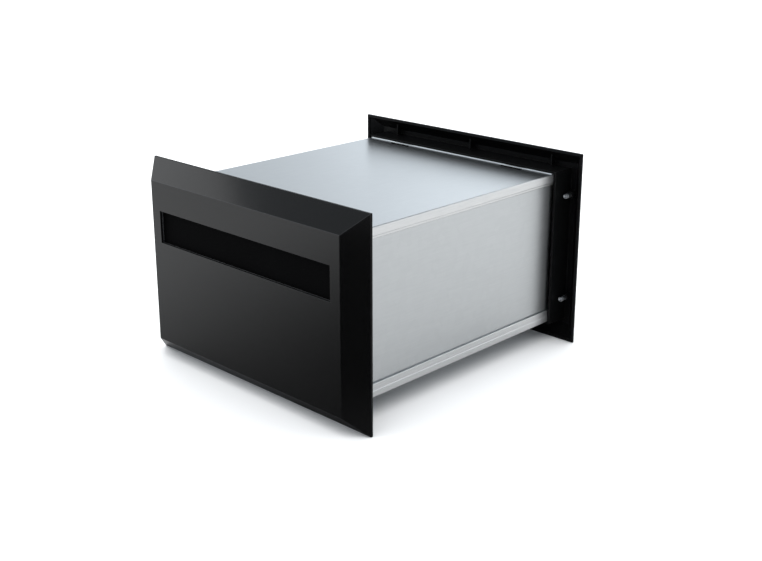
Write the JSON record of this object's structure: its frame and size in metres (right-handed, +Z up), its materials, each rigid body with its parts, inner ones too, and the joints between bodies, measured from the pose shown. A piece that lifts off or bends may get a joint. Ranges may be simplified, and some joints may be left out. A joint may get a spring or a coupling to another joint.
{
  "type": "through-wall letterbox",
  "caption": "Letterbox that passes mail through a wall: steel sleeve between a bevelled black cover with a slot and sprung flap, and a black frame with a lockable door.",
  "frame": {"origin": "under the middle of the wall depth and of the width, level with the bottom edges of both covers", "axes": "+X right as seen from the street, +Y from the street into the house, +Z up"},
  "size_m": [0.41, 0.463, 0.275],
  "materials": {
    "galvanised_steel": "hot-dip galvanised, faint spangle, satin",
    "black_plastic": "moulded black, polished outside",
    "flap_plastic": "deep black, glossy",
    "foam_rubber": "closed-cell foam, matt",
    "zinc_plate": "zinc plated, bright",
    "spring_steel": "drawn wire, bright",
    "lock_chrome": "polished nickel-chrome"
  },
  "bodies": {
    "sleeve_and_covers": {"top_panel": "galvanised_steel", "bottom_panel": "galvanised_steel", "left_side_panel": "galvanised_steel", "right_side_panel": "galvanised_steel", "front_cover": "black_plastic", "flap_seal": "foam_rubber", "flap_hinge_pin": "zinc_plate", "flap_spring_left": "spring_steel", "flap_spring_right": "spring_steel", "front_tie_bush_1": "zinc_plate", "front_tie_bush_2": "zinc_plate", "front_tie_bush_3": "zinc_plate", "front_tie_bush_4": "zinc_plate", "rear_frame": "black_plastic", "door_seal": "foam_rubber", "door_hinge_pin_top": "zinc_plate", "door_hinge_pin_bottom": "zinc_plate", "rear_tie_bush_1": "zinc_plate", "rear_tie_bush_2": "zinc_plate", "rear_tie_bush_3": "zinc_plate", "rear_tie_bush_4": "zinc_plate"},
    "flap": {"letter_flap": "flap_plastic", "flap_spring_arm_left": "spring_steel", "flap_spring_arm_right": "spring_steel"},
    "door": {"rear_door": "black_plastic", "lock_housing": "lock_chrome", "lock_nut": "zinc_plate"},
    "lock": {"lock_plug": "lock_chrome", "lock_cam": "zinc_plate", "cam_screw": "zinc_plate"}
  },
  "joints": [
    {"name": "flap_swing", "type": "hinge", "parent": "sleeve_and_covers", "child": "flap", "pos_m": [0, -0.2233, 0.2205], "axis": [1, 0, 0], "range_deg": [0, 80], "stiffness_Nm_per_rad": 0.02, "springref_deg": -34.38},
    {"name": "door_swing", "type": "hinge", "parent": "sleeve_and_covers", "child": "door", "pos_m": [-0.17315, 0.22765, 0.1375], "axis": [0, 0, 1], "range_deg": [0, 95]},
    {"name": "lock_turn", "type": "hinge", "parent": "door", "child": "lock", "pos_m": [0.15, 0.2225, 0.1375], "axis": [0, -1, 0], "range_deg": [0, 90]}
  ]
}
